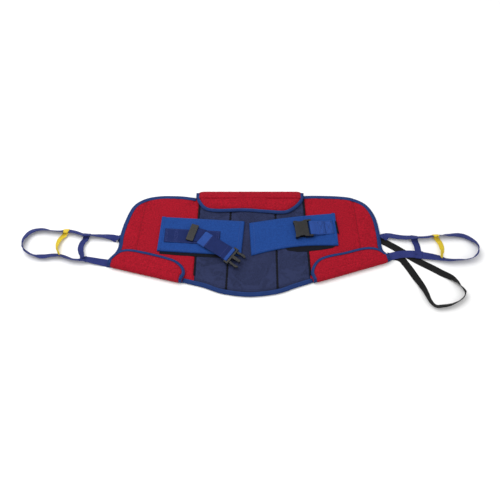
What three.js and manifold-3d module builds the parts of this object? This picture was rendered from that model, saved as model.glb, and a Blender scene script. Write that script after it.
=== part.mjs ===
// Stand-assist transfer sling: a quilted back body with three fold-over flaps, a two-part waist
// belt with a side-release buckle, and webbing lifting loops. It lies open on a flat surface.
//
// Millimetres, +Z up. X runs across the body, +Y towards the top flap. The origin is the centre
// of the underside of the upper load webbing, which is the plane the sling rests on (z = 0).

import * as THREE from 'three';
import { mergeVertices } from 'three/addons/utils/BufferGeometryUtils.js';
import Module from 'manifold-3d';

const wasm = await Module();
wasm.setup();

// ---- driving dimensions -------------------------------------------------------------------

const GAP = 0.3;                 // clearance between pieces that touch
const WEB = 1.8;                 // webbing thickness
const LOOP_WIDTH = 25;           // lifting loops and load webbing
const CARRY_WIDTH = 22;
const BELT_WEB_WIDTH = 48;       // webbing of the waist belt
const CLOTH = 1.2;               // coated cover fabric
const BODY_FOAM = 7;             // foam inside the body panels
const FLAP_HEIGHT = 12;          // padded flap, cover included
const BELT_HEIGHT = 8;           // padded belt, cover included
const BINDING_WIDTH = 11;        // edge tape, seen width
const BINDING_HEIGHT = 7;

// stack of layers in the body, from the surface up
const SHELL_Z = WEB + GAP;
const FOAM_Z = SHELL_Z + CLOTH + GAP;
const LINING_Z = FOAM_Z + BODY_FOAM + GAP;
const BODY_TOP = LINING_Z + CLOTH;
const FRONT_Z = BODY_TOP + 0.5;  // where flaps and belts lie
const BELT_TOP = FRONT_Z + BELT_HEIGHT;

// the body's outline; the left side and the left fold are given as if they were on the right
const TOP_HALF_WIDTH = 168;      // half the top flap's fold
const TOP_FOLD_Y = 176;
// the outer and inner end of each lower flap's fold
const RIGHT_FOLD = { outer: [424, -55], inner: [189, -129] };
const LEFT_FOLD = { outer: [430, -72], inner: [203, -129] };
const RIGHT_SIDE_POINTS = [[424, -44], [404, -14], [400, 35], [390, 97], [366, 143], [327, 168], [283, 177],
  [205, 180], [TOP_HALF_WIDTH, 179]];
const LEFT_SIDE_POINTS = [[430, -52], [404, -14], [399, 33], [387, 85], [366, 138], [332, 166], [283, 178],
  [217, 178], [TOP_HALF_WIDTH, 171]];
// the seams beside the centre panel, each as its x at the top fold and at the lower flaps' ends
const LEFT_SEAM = { top: -156, bottom: -168 };
const RIGHT_SEAM = { top: 166, bottom: 182 };
const BOTTOM_POINTS = [[-203, -129], [-140, -146], [-82, -167], [0, -177], [82, -167], [140, -146], [189, -129]];

// the waist belt: where each half is sewn down, its direction, the slant of its ends and its size
const LEFT_BELT = { x: -277, y: 34, angle: -3.6, slant: 1.5, length: 256, width: 122 };
const RIGHT_BELT = { x: 266, y: 50, angle: 187.6, slant: 4.5, length: 268, width: 115 };

// the buckle on the waist belt
const BUCKLE_WIDTH = 59;
const FEMALE_LENGTH = 52;
const FEMALE_HEIGHT = 13;
const MALE_HEIGHT = 8;
const BAR_RADIUS = 2;
const RAIL = 5;                  // side rails of the buckle and the strap adjuster
const PRONG_LENGTH = 31;

// ---- materials ----------------------------------------------------------------------------

const fabric = (color) => new THREE.MeshStandardMaterial({ color, roughness: 0.9, metalness: 0 });
const RED = fabric(0xb01e32);
const NAVY = fabric(0x2e3350);
const BLUE = fabric(0x274d96);
const INDIGO = fabric(0x303c80);
const YELLOW = fabric(0xeed84a);
const BLACK = fabric(0x2c2c2d);
const FOAM = fabric(0xd9d4c4);
const PLASTIC = new THREE.MeshStandardMaterial({ color: 0x262629, roughness: 0.45, metalness: 0 });

// ---- geometry helpers ---------------------------------------------------------------------

const flat = (pairs) => pairs.map(([x, y]) => new THREE.Vector2(x, y));
const mirrored = (pairs) => pairs.map(([x, y]) => [-x, y]).reverse();

// evenly spaced points along a smooth curve through the given pairs
function smooth(pairs, count) {
  const curve = new THREE.SplineCurve(flat(pairs));
  return curve.getSpacedPoints(count).map((p) => [p.x, p.y]);
}

// an open line moved sideways; a positive distance moves it to its left
function offset(pairs, distance) {
  const points = flat(pairs);
  return points.map((point, i) => {
    const before = points[Math.max(i - 1, 0)];
    const after = points[Math.min(i + 1, points.length - 1)];
    const along = after.clone().sub(before).normalize();
    return [point.x - along.y * distance, point.y + along.x * distance];
  });
}

// a plate with the given outline, between two heights
function plate(pairs, bottom, height, bevel = 0) {
  const options = { depth: height - 2 * bevel, bevelEnabled: bevel > 0, bevelThickness: bevel,
    bevelSize: bevel, bevelOffset: -bevel, bevelSegments: 2 };
  const geometry = new THREE.ExtrudeGeometry(new THREE.Shape(flat(pairs)), options);
  return geometry.translate(0, 0, bottom + bevel);
}

function box(x0, x1, y0, y1, z0, z1) {
  const geometry = new THREE.BoxGeometry(x1 - x0, y1 - y0, z1 - z0);
  return geometry.translate((x0 + x1) / 2, (y0 + y1) / 2, (z0 + z1) / 2);
}

function solid(geometry) {
  const bare = geometry.clone();
  bare.deleteAttribute('normal');
  bare.deleteAttribute('uv');
  const merged = mergeVertices(bare, 1e-4);
  const vertProperties = new Float32Array(merged.attributes.position.array);
  const triVerts = new Uint32Array(merged.index.array);
  return new wasm.Manifold(new wasm.Mesh({ numProp: 3, vertProperties, triVerts }));
}

function geometryOf(manifold) {
  const mesh = manifold.getMesh();
  const geometry = new THREE.BufferGeometry();
  geometry.setAttribute('position', new THREE.BufferAttribute(mesh.vertProperties, 3));
  geometry.setIndex(new THREE.BufferAttribute(mesh.triVerts, 1));
  return geometry;
}

const cut = (body, ...tools) => geometryOf(tools.reduce((left, tool) => left.subtract(solid(tool)), solid(body)));
const join = (...bodies) => geometryOf(bodies.map(solid).reduce((all, next) => all.add(next)));
const shared = (a, b) => geometryOf(solid(a).intersect(solid(b)));

// the skin of a band with four corners at each step, closed by a face at each end; both wide faces
// are split along the same diagonal, so that they stay apart where the band twists
function band(corners, steps) {
  const faces = [];
  for (let i = 0; i < steps; i += 1) {
    for (let k = 0; k < 4; k += 1) {
      const a = 4 * i + k;
      const b = 4 * i + ((k + 1) % 4);
      if (k === 2) faces.push(a, b, a + 4, b, b + 4, a + 4);
      else faces.push(a, b, b + 4, a, b + 4, a + 4);
    }
  }
  const last = 4 * steps;
  faces.push(0, 2, 1, 0, 3, 2, last, last + 1, last + 2, last, last + 2, last + 3);
  const geometry = new THREE.BufferGeometry();
  geometry.setAttribute('position', new THREE.Float32BufferAttribute(corners, 3));
  geometry.setIndex(faces);
  return geometry;
}

// webbing lying on the surface: each point is x, y, the turn of its width out of the horizontal in
// degrees, and the height under its lowest edge
function layingStrap(points, steps, width = LOOP_WIDTH) {
  const curve = new THREE.CatmullRomCurve3(points.map(([x, y]) => new THREE.Vector3(x, y, 0)), false, 'centripetal');
  const perPoint = 40;
  const lengths = curve.getLengths(perPoint * (points.length - 1));
  const stations = points.map((point, i) => lengths[perPoint * i] / curve.getLength());
  // roll and height are eased between the points by how far along the curve each of them lies
  const easedAt = (t, column) => {
    const next = Math.min(Math.max(stations.findIndex((s) => s >= t), 1), stations.length - 1);
    const share = (t - stations[next - 1]) / (stations[next] - stations[next - 1]);
    const eased = THREE.MathUtils.smoothstep(share, 0, 1);
    return THREE.MathUtils.lerp(points[next - 1][column], points[next][column], eased);
  };
  const corners = [];
  const up = new THREE.Vector3(0, 0, 1);
  for (let i = 0; i <= steps; i += 1) {
    const t = i / steps;
    const along = curve.getTangentAt(t);
    const roll = THREE.MathUtils.degToRad(easedAt(t, 2));
    const across = new THREE.Vector3().crossVectors(up, along).applyAxisAngle(along, roll);
    const normal = new THREE.Vector3().crossVectors(along, across);
    const rise = (Math.abs(Math.sin(roll)) * width + Math.abs(Math.cos(roll)) * WEB) / 2;
    const centre = curve.getPointAt(t).setZ(easedAt(t, 3) + rise);
    for (const [side, face] of [[1, 1], [-1, 1], [-1, -1], [1, -1]]) {
      const corner = centre.clone().addScaledVector(across, (side * width) / 2);
      corners.push(...corner.addScaledVector(normal, (face * WEB) / 2).toArray());
    }
  }
  return band(corners, steps);
}

// webbing in a vertical plane: each point is distance along and height, width is level
function standingStrap(points, steps, width = BELT_WEB_WIDTH) {
  const centres = points.map(([x, z]) => new THREE.Vector3(x, 0, z));
  const curve = new THREE.CatmullRomCurve3(centres, false, 'centripetal');
  // the width stays level and square to the plane however the webbing turns
  const corners = [];
  const profile = [];
  for (let i = 0; i <= steps; i += 1) {
    const centre = curve.getPointAt(i / steps);
    const along = curve.getTangentAt(i / steps);
    profile.push([centre, new THREE.Vector3(-along.z, 0, along.x)]);
  }
  for (const [centre, normal] of profile) {
    const upper = centre.clone().addScaledVector(normal, WEB / 2);
    corners.push([upper.x, upper.z]);
  }
  for (const [centre, normal] of [...profile].reverse()) {
    const lower = centre.clone().addScaledVector(normal, -WEB / 2);
    corners.push([lower.x, lower.z]);
  }
  const shape = new THREE.Shape(flat(corners));
  const geometry = new THREE.ExtrudeGeometry(shape, { depth: width, bevelEnabled: false });
  return geometry.rotateX(Math.PI / 2).translate(0, width / 2, 0);
}

// ---- the object ---------------------------------------------------------------------------

const sling = new THREE.Group();

function piece(name, geometry, material, parent = sling) {
  const mesh = new THREE.Mesh(geometry, material);
  mesh.name = name;
  parent.add(mesh);
}

// -- body: load webbing, outer shell, foam, lining and edge binding -----------------------------

const rightSide = smooth(RIGHT_SIDE_POINTS, 34);
const leftSide = mirrored(smooth(LEFT_SIDE_POINTS, 34));
const bottomEdge = smooth(BOTTOM_POINTS, 30);

// layers stop at the binding where the edge is bound, and reach the edge at each fold
const LAYER_INSET = BINDING_WIDTH + GAP;
const FOLD_TRIM = 1.5;
// the part of a fold line that a layer's edge follows, cut short beside the bottom binding
function foldLine({ inner, outer }) {
  const share = FOLD_TRIM / (outer[0] - inner[0]);
  return [[inner[0] + FOLD_TRIM, THREE.MathUtils.lerp(inner[1], outer[1], share)], outer];
}
const insideBinding = [
  ...offset(bottomEdge, LAYER_INSET),
  ...foldLine(RIGHT_FOLD),
  ...offset(rightSide, LAYER_INSET),
  [TOP_HALF_WIDTH - FOLD_TRIM, TOP_FOLD_Y],
  [FOLD_TRIM - TOP_HALF_WIDTH, TOP_FOLD_Y],
  ...offset(leftSide, LAYER_INSET),
  ...mirrored(foldLine(LEFT_FOLD)),
];

// x of a seam beside the centre panel, at a given y
function seamAt({ top, bottom }, y) {
  return THREE.MathUtils.mapLinear(y, LEFT_FOLD.inner[1], TOP_FOLD_Y, bottom, top);
}

// one layer of a body panel, between two lines that each give an x for a y
function panel(name, from, to, material, bottom, height) {
  const whole = plate(insideBinding, bottom, height);
  const reach = 300;
  const strip = [[from(-reach), -reach], [to(-reach), -reach], [to(reach), reach], [from(reach), reach]];
  piece(name, shared(whole, plate(strip, bottom - 1, height + 2)), material);
}

function addBody() {
  const upperLoad = [[-396, 25, 0, 0], [-200, 6.3, 0, 0], [0, 0, 0, 0], [200, 6.3, 0, 0], [396, 25, 0, 0]];
  const lowerLoad = [[-424, -62, 0, 0], [-200, -92, 0, 0], [0, -102, 0, 0], [200, -92, 0, 0], [411, -47, 0, 0]];
  piece('rear_webbing_upper', layingStrap(upperLoad, 24), INDIGO);
  piece('rear_webbing_lower', layingStrap(lowerLoad, 24), INDIGO);
  piece('outer_shell', plate(insideBinding, SHELL_Z, CLOTH), NAVY);
  const far = 500;
  const leftSeam = (y) => seamAt(LEFT_SEAM, y);
  const rightSeam = (y) => seamAt(RIGHT_SEAM, y);
  const panels = [['left', () => -far, (y) => leftSeam(y) - GAP, RED], ['center', leftSeam, rightSeam, NAVY],
    ['right', (y) => rightSeam(y) + GAP, () => far, RED]];
  for (const [side, from, to, material] of panels) {
    panel(`${side}_foam`, from, to, FOAM, FOAM_Z, BODY_FOAM);
    panel(`${side}_lining`, from, to, material, LINING_Z, CLOTH);
  }
  const bands = [['right_edge_binding', rightSide], ['left_edge_binding', leftSide],
    ['bottom_edge_binding', bottomEdge]];
  for (const [name, edgeLine] of bands) {
    const ring = [...edgeLine, ...offset(edgeLine, BINDING_WIDTH).reverse()];
    piece(name, plate(ring, SHELL_Z, BINDING_HEIGHT), BLUE);
  }
}

// -- fold-over flaps: a cover open along its free edge, foam inside, binding round the edge ------

// the free edge runs from one end of the fold to the other, with the flap on its left
function addFlap(name, freeEdge) {
  const start = freeEdge[freeEdge.length - 1];
  const end = freeEdge[0];
  const along = new THREE.Vector2(end[0] - start[0], end[1] - start[1]).normalize();
  const away = new THREE.Vector2(-along.y, along.x);
  // the outline that lies inset from the free edge and ends a set distance away from the fold
  const within = (inset, fromFold) => {
    const line = flat(offset(freeEdge, inset));
    for (const corner of [line[0], line[line.length - 1]]) {
      const height = corner.clone().sub(new THREE.Vector2(...start)).dot(away);
      corner.addScaledVector(away, fromFold - height);
    }
    return line.map((point) => [point.x, point.y]);
  };
  const coverInset = BINDING_WIDTH + GAP;
  const skins = plate(within(coverInset, 0), FRONT_Z, FLAP_HEIGHT);
  const pocket = plate(within(coverInset - 6, CLOTH), FRONT_Z + CLOTH, FLAP_HEIGHT - 2 * CLOTH);
  piece(`${name}_cover`, cut(skins, pocket), RED);
  const wall = CLOTH + GAP;
  piece(`${name}_foam`, plate(within(coverInset + 1, wall), FRONT_Z + wall, FLAP_HEIGHT - 2 * wall), FOAM);
  const ring = [...within(0, 0), ...within(BINDING_WIDTH, 0).reverse()];
  piece(`${name}_binding`, plate(ring, FRONT_Z + 2, FLAP_HEIGHT - 4), BLUE);
}

function addFlaps() {
  const foldY = TOP_FOLD_Y - GAP;
  const topEdge = [[-168, foldY], [-165, 152], [-143, 122], [-106, 112], [-20, 114], [45, 109], [107, 106],
    [141, 123], [165, 152], [168, foldY]];
  addFlap('top_flap', smooth(topEdge, 32));
  const rightEdge = [[423.5, -54], [420, -42], [404, -26], [388, -17], [364, -12.5], [335, -16], [286, -30],
    [237, -41], [206, -55], [188, -78], [182, -104], [190, -128.2]];
  addFlap('right_flap', smooth(rightEdge, 32));
  const leftEdge = [[428.5, -71], [427, -55], [399, -27], [365, -20], [318, -29], [266, -43], [225, -58], [201, -80],
    [194, -104], [204, -128.4]];
  addFlap('left_flap', mirrored(smooth(leftEdge, 30)));
}

// -- waist belt ---------------------------------------------------------------------------------

// a group whose local X runs from the sewn end along the belt half
function beltGroup({ x, y, angle }) {
  const group = new THREE.Group();
  group.position.set(x, y, 0);
  group.rotation.z = THREE.MathUtils.degToRad(angle);
  sling.add(group);
  return group;
}

function addBeltPad(side, belt, group) {
  const start = 3;
  // the pad's four corners, moved in from its edges
  const corners = (startInset, inset) => {
    const half = belt.width / 2 - inset;
    const lean = Math.tan(THREE.MathUtils.degToRad(belt.slant));
    const ends = [start + startInset, belt.length - inset];
    const round = [[ends[0], -half], [ends[1], -half], [ends[1], half], [ends[0], half]];
    return round.map(([x, y]) => [x + lean * y, y]);
  };
  const cover = plate(corners(0, 0), FRONT_Z, BELT_HEIGHT, 1.5);
  const wall = CLOTH + 0.6;
  const pocket = plate(corners(-1, wall), FRONT_Z + wall, BELT_HEIGHT - 2 * wall);
  piece(`${side}_belt_cover`, cut(cover, pocket), BLUE, group);
  const snug = wall + GAP;
  const foam = plate(corners(1, snug), FRONT_Z + snug, BELT_HEIGHT - 2 * snug);
  piece(`${side}_belt_foam`, foam, FOAM, group);
}

function addLeftBelt() {
  const group = beltGroup(LEFT_BELT);
  addBeltPad('left', LEFT_BELT, group);
  const half = BELT_WEB_WIDTH / 2;
  const below = 7;               // the webbing is sewn below the belt's centre line
  const sewn = box(17, 186, -half - below, half - below, BELT_TOP + GAP, BELT_TOP + GAP + WEB);
  piece('left_base_webbing', sewn, INDIGO, group);
  addStrapAndAdjuster(group);
}

// the adjustable strap leaves the sewn webbing, passes the adjuster and folds back to the buckle
const STRAP_Z = BELT_TOP + 2 * GAP + 1.5 * WEB;
const ADJUSTER = { along: 101, across: 3.5, turn: -14.6, width: 22, length: 58, height: 5, face: 1.4, bar: 1.2 };
const TAIL = { x: -146, y: 13, angle: -35.2, length: 104 };

function addStrapAndAdjuster(group) {
  const lane = new THREE.Group();
  lane.position.set(ADJUSTER.along, ADJUSTER.across, 0);
  lane.rotation.z = THREE.MathUtils.degToRad(ADJUSTER.turn);
  group.add(lane);
  const half = BELT_WEB_WIDTH / 2;
  const layer = box(-12, 38, -half, half, STRAP_Z - WEB / 2, STRAP_Z + WEB / 2);
  piece('strap_lower_layer', layer, INDIGO, lane);
  const base = STRAP_Z + WEB / 2 + GAP;
  const { width, length, height, bar } = ADJUSTER;
  const frame = box(-width / 2, width / 2, -length / 2, length / 2, base, base + height);
  // the well under the closed face, crossed by the bar that the webbing turns over
  const wellX = width / 2 - 4;
  const wellY = length / 2 - RAIL;
  const well = box(-wellX, wellX, -wellY, wellY, base - 1, base + height - ADJUSTER.face);
  const crossBar = box(-1.5, 1.5, -wellY - 1, wellY + 1, base, base + bar);
  const ribs = [-6, 0, 6].map((x) => box(x - 1, x + 1, 4 - wellY, wellY - 4, base + height - 0.5, base + height + 0.5));
  piece('strap_adjuster', join(cut(frame, well), crossBar, ...ribs), PLASTIC, lane);
  const low = base + WEB / 2 + 0.1;
  const high = base + bar + GAP + WEB / 2;
  const bight = standingStrap([[-4.6, low], [-3.4, low + 0.7], [-1.6, high], [1.6, high], [3.4, low + 0.7],
    [4.6, low]], 12, BELT_WEB_WIDTH - 2);
  piece('strap_bight', bight, INDIGO, lane);
}

// -- buckle: the male half on the strap's end, the female half on the right belt -----------------

const FOLD_RADIUS = 2.2;
const MALE_BAR_Z = BELT_TOP + 6;

function addTail() {
  const group = new THREE.Group();
  group.position.set(TAIL.x, TAIL.y, 0);
  group.rotation.z = THREE.MathUtils.degToRad(TAIL.angle);
  sling.add(group);
  const low = STRAP_Z + WEB + GAP + 0.4;
  const top = low + 2 * FOLD_RADIUS;
  const end = TAIL.length;
  const wrap = BAR_RADIUS + 0.6 + WEB / 2;
  const bar = MALE_BAR_Z;
  const path = [[26, low], [6, low], [0, low + 0.5], [-FOLD_RADIUS, low + FOLD_RADIUS], [0, top - 0.3], [8, top],
    [56, top], [78, top], [end - 8, bar + wrap + 0.5], [end, bar + wrap],
    [end + 0.7 * wrap, bar + 0.7 * wrap], [end + wrap, bar], [end + 0.7 * wrap, bar - 0.7 * wrap],
    [end, bar - wrap], [end - 8, bar - wrap + 0.8], [end - 16, bar - wrap + 1]];
  piece('strap_tail', standingStrap(path, 70), INDIGO, group);
  addMaleBuckle(group);
}

// a bar of the buckle that the webbing turns round
function roundBar(x, z, length) {
  const bar = new THREE.CylinderGeometry(BAR_RADIUS, BAR_RADIUS, length, 12);
  return bar.translate(x, 0, z);
}

const MALE_PITCH = 3;            // the buckle's nose dips over the belt's edge
const PRONG_ROOT = 13;
const PRONG_OFFSET = 20;

function addMaleBuckle(tail) {
  const group = new THREE.Group();
  group.position.set(TAIL.length, 0, MALE_BAR_Z);
  group.rotation.y = THREE.MathUtils.degToRad(MALE_PITCH);
  tail.add(group);
  const half = BUCKLE_WIDTH / 2;
  const low = -MALE_HEIGHT / 2;
  const high = MALE_HEIGHT / 2;
  const railAt = half - RAIL / 2;
  const rails = [-1, 1].map((side) => box(-3, 12, side * railAt - RAIL / 2, side * railAt + RAIL / 2, low, high));
  const bridge = box(6, 12, -half, half, low, high);
  const guide = plate([[11, -5.5], [37, -4.4], [39, 0], [37, 4.4], [11, 5.5]], low + 1, MALE_HEIGHT - 2, 0.8);
  piece('male_buckle', join(bridge, ...rails, roundBar(0, 0, BUCKLE_WIDTH - RAIL), guide), PLASTIC, group);
  for (const [name, side] of [['left_prong', 1], ['right_prong', -1]]) {
    const shapeAt = ([x, y]) => [PRONG_ROOT + x, side * (PRONG_OFFSET + y)];
    const outline = [[0, -4], [14, -2], [24, -2.5], [PRONG_LENGTH - 1, -3.5], [PRONG_LENGTH, 1], [25, 5.5],
      [19, 5.5], [13, 4.5], [0, 4]].map(shapeAt);
    piece(name, plate(side > 0 ? outline : outline.reverse(), low + 1, MALE_HEIGHT - 2, 0.8), PLASTIC, group);
  }
}

const FEMALE_BAR_X = 79;         // from the right belt's sewn end
const FEMALE_BAR_Z = BELT_TOP + GAP + WEB + GAP + FEMALE_HEIGHT / 2;

function addRightBelt() {
  const group = beltGroup(RIGHT_BELT);
  addBeltPad('right', RIGHT_BELT, group);
  const half = BELT_WEB_WIDTH / 2;
  const web = new THREE.Group();
  web.position.y = -7;
  group.add(web);
  const patch = box(10, 70, -half, half, BELT_TOP + GAP, BELT_TOP + GAP + WEB);
  piece('right_base_webbing', patch, INDIGO, web);
  const wrap = BAR_RADIUS + 0.6 + WEB / 2;
  const lower = BELT_TOP + 2 * GAP + 1.5 * WEB;
  const upper = lower + WEB + GAP;
  const bar = FEMALE_BAR_Z;
  const path = [[38, lower], [60, lower], [68, lower + 0.6], [FEMALE_BAR_X, bar - wrap],
    [FEMALE_BAR_X + 0.7 * wrap, bar - 0.7 * wrap], [FEMALE_BAR_X + wrap, bar],
    [FEMALE_BAR_X + 0.7 * wrap, bar + 0.7 * wrap], [FEMALE_BAR_X, bar + wrap], [70, bar + wrap - 2.2],
    [60, upper + 1.2], [52, upper], [38, upper]];
  piece('buckle_loop', standingStrap(path, 60), INDIGO, web);
  addFemaleBuckle(web);
}

function addFemaleBuckle(web) {
  const half = BUCKLE_WIDTH / 2;
  const low = FEMALE_BAR_Z - FEMALE_HEIGHT / 2;
  const high = FEMALE_BAR_Z + FEMALE_HEIGHT / 2;
  const x = FEMALE_BAR_X;
  const back = x + 9;
  const mouth = x + FEMALE_LENGTH;
  const waist = 4;
  const outline = [[back, -half], [back, half], [back + 8, half], [back + 16, half - waist],
    [back + 26, half - waist], [mouth - 7, half], [mouth, half - 1], [mouth - 3, half - 16], [mouth - 3, 16 - half],
    [mouth, 1 - half], [mouth - 7, -half], [back + 26, waist - half], [back + 16, waist - half], [back + 8, -half]];
  const shell = plate([...outline].reverse(), low, FEMALE_HEIGHT, 1.2);
  const rails = [-1, 1].map((side) => box(x - 3, back + 2, side * (half - RAIL / 2) - RAIL / 2,
    side * (half - RAIL / 2) + RAIL / 2, low + 2, high - 2));
  const whole = join(shell, ...rails, roundBar(x, FEMALE_BAR_Z, BUCKLE_WIDTH - RAIL));
  const wall = 2.2;
  const socket = box(back + 3, mouth + 5, -half + 6.5, half - 6.5, low + wall, high - wall);
  const windows = box(back + 14, back + 28, -half - 5, half + 5, low + wall, high - wall);
  piece('female_buckle', cut(whole, socket, windows), PLASTIC, web);
}

// -- lifting loops and carrying strap -------------------------------------------------------------

function addLoops() {
  const leftMain = [[-411, 25, 0, 0.3], [-430, 29, 26, 0.3], [-456, 31, 40, 0.3], [-485, 33, 52, 0.3],
    [-512, 35, 48, 0.3], [-540, 45, 45, 0.3], [-562, 48, 38, 0.3], [-586, 47, 56, 0.3], [-612, 49, 60, 0.3],
    [-645, 54, 44, 0.3], [-673, 46, 35, 0.3], [-688, 28, 42, 0.3], [-694, 3, 68, 0.3], [-690, -11, 92, 0.3],
    [-680, -25, 117, 0.3], [-659, -37, 122, 0.3], [-629, -41, 148, 0.3], [-596, -37, 140, 0.3],
    [-570, -40, 130, 0.3], [-538, -52, 126, 0.3], [-513, -53, 129, 0.3], [-497, -50, 155, 0.3],
    [-461, -56, 168, 0.3], [-437, -60, 178, 0.3]];
  piece('left_lifting_loop', layingStrap(leftMain, 110), INDIGO);
  const leftNavy = [[-504, 21, 22, 0.3], [-512, 8, 24, 0.3], [-516, -8, 28, 0.3], [-514, -22, 36, 0.3],
    [-511, -31, 50, 0.3]];
  piece('left_navy_rung', layingStrap(leftNavy, 16, 22), INDIGO);
  const leftYellow = [[-571, 34, 22, 0.3], [-581, 22, 30, 0.3], [-586, 8, 38, 0.3], [-587, -6, 54, 0.3],
    [-586, -18, 80, 0.3]];
  piece('left_yellow_rung', layingStrap(leftYellow, 16, 20), YELLOW);
  const rightMain = [[413, 30, 0, 2.6], [425, 33, -26, 1], [450, 29, -29, 0.3], [473, 26, -31, 0.3],
    [492, 26, -36, 0.3], [510, 25, -49, 0.3], [543, 26, -48, 0.3], [567, 31, -53, 0.3], [590, 32, -60, 0.3],
    [607, 33, -46, 0.3], [645, 34, -32, 0.3], [663, 28, -32, 0.3], [680, 16, -38, 0.3], [692, 2, -52, 0.3],
    [695, -14, -78, 0.3], [686, -38, -108, 0.3], [668, -50, -113, 0.3], [628, -54, -127, 0.3],
    [594, -53, -137, 0.3], [572, -46, -157, 2.2], [538, -39, -172, 4], [493, -32, -178, 4.8],
    [458, -33, -180, 5.2], [438, -37, -180, 4.6]];
  piece('right_lifting_loop', layingStrap(rightMain, 110), INDIGO);
  const rightNavy = [[505, 12, -14, 0.3], [508, 4, -18, 0.3], [510, -6, -20, 0.3], [511, -17, -20, 0.3]];
  piece('right_navy_rung', layingStrap(rightNavy, 10, 22), INDIGO);
  const rightYellow = [[575, 20, -14, 0.3], [581, 8, -18, 0.3], [584, -4, -22, 0.3], [584, -18, -36, 0.3],
    [583, -27, -60, 0.3]];
  piece('right_yellow_rung', layingStrap(rightYellow, 16, 22), YELLOW);
}

function addCarryStrap() {
  const route = [[411, 14, 0, 0.1], [436, -2, 0, 0.1], [458, -17, 0, 0.1], [505, -51, 0, 0.1],
    [547, -76, 0, 0.1], [579, -96, 0, 0.1], [601, -109, -9, 0.1], [615, -123, -36, 0.1], [626, -140, -60, 0.1],
    [637, -157, -75, 0.1], [639, -168, -90, 0.1], [626, -187, -107, 0.1], [602, -201, -118, 0.1],
    [588, -206, -130, 0.1], [569, -209, -136, 0.1], [551, -210, -138, 0.1], [540, -203, -137, 0.1],
    [530, -185, -138, 0.1], [523, -163, -148, 0.1], [513, -139, -165, 0.1], [496, -107, -178, 0.1],
    [471, -63, -180, 0.1], [457, -45, -180, 0.1]];
  piece('carry_strap', layingStrap(route, 90, CARRY_WIDTH), BLACK);
}

addBody();
addFlaps();
addLeftBelt();
addTail();
addRightBelt();
addLoops();
addCarryStrap();

export default sling;
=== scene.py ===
"""Stand-assist transfer sling laid open on a pale floor: the looks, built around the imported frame.

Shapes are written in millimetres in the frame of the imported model, and new_piece turns them into
metres. Soft solids of the frame are replaced by detailed pieces in the same places. The moulded
plastic pieces and the bight of webbing over the adjuster's bar are kept and get a material.
"""
import math

import bmesh
import bpy
import numpy as np
from mathutils import Matrix, Vector, noise
from mathutils.bvhtree import BVHTree
from mathutils.geometry import delaunay_2d_cdt


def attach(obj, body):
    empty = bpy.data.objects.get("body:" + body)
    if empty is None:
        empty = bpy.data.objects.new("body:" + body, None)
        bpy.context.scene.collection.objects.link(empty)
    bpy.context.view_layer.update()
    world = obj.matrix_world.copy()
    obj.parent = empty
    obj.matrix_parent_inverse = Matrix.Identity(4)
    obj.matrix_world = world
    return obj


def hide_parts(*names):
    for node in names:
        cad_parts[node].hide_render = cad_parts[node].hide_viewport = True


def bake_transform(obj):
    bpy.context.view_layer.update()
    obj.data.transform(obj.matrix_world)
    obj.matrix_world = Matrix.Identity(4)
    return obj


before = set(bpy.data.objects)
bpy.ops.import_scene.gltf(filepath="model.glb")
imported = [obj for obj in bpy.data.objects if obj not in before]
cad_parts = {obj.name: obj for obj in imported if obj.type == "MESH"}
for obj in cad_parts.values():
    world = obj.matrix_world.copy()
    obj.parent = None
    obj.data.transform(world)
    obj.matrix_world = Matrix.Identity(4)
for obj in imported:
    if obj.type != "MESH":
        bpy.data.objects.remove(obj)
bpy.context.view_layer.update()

MM = 0.001
UP = Vector((0, 0, 1))
CLOTH_FRAMES = 20
CLOTH_PRESSURE = 4
CLOTH_SLACK = -0.02              # how much larger the cloth is cut than the shape it covers

# ---- dimensions shared with the frame, in mm

WEB = 1.8                        # webbing thickness
LOOP_WIDTH = 25
CARRY_WIDTH = 22
BELT_WEB_WIDTH = 48
SHELL_Z = 2.1                    # underside of the shell
PANEL_UNDERSIDE = 3.6
FRONT_Z = 12.6                   # underside of flaps and belts
FOLD_Z = 12.35                   # height of the axis that flaps and belts turn about
BELT_TOP = 20.6
FLAP_TOP = 24.6
STRAP_Z = BELT_TOP + 0.6 + 1.5 * WEB
DASH = 3.3                       # length of one stitch

RIGHT_SIDE_POINTS = [
    (424, -44), (404, -14), (400, 35), (390, 97), (366, 143), (327, 168), (283, 177), (205, 180),
    (168, 179),
]
LEFT_SIDE_POINTS = [
    (430, -52), (404, -14), (399, 33), (387, 85), (366, 138), (332, 166), (283, 178), (217, 178),
    (168, 171),
]
BOTTOM_POINTS = [(-203, -129), (-140, -146), (-82, -167), (0, -177), (82, -167), (140, -146), (189, -129)]
TOP_FLAP_EDGE = [
    (-168, 175.7), (-165, 152), (-143, 122), (-106, 112), (-20, 114), (45, 109), (107, 106), (141, 123),
    (165, 152), (168, 175.7),
]
RIGHT_FLAP_EDGE = [
    (423.5, -54), (420, -42), (404, -26), (388, -17), (364, -12.5), (335, -16), (286, -30), (237, -41),
    (206, -55), (188, -78), (182, -104), (190, -128.2),
]
LEFT_FLAP_EDGE = [
    (428.5, -71), (427, -55), (399, -27), (365, -20), (318, -29), (266, -43), (225, -58), (201, -80),
    (194, -104), (204, -128.4),
]
LEFT_PANEL_SEAM = [(-156, 176), (-168, -129)]
RIGHT_PANEL_SEAM = [(166, 176), (182, -129)]

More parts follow.
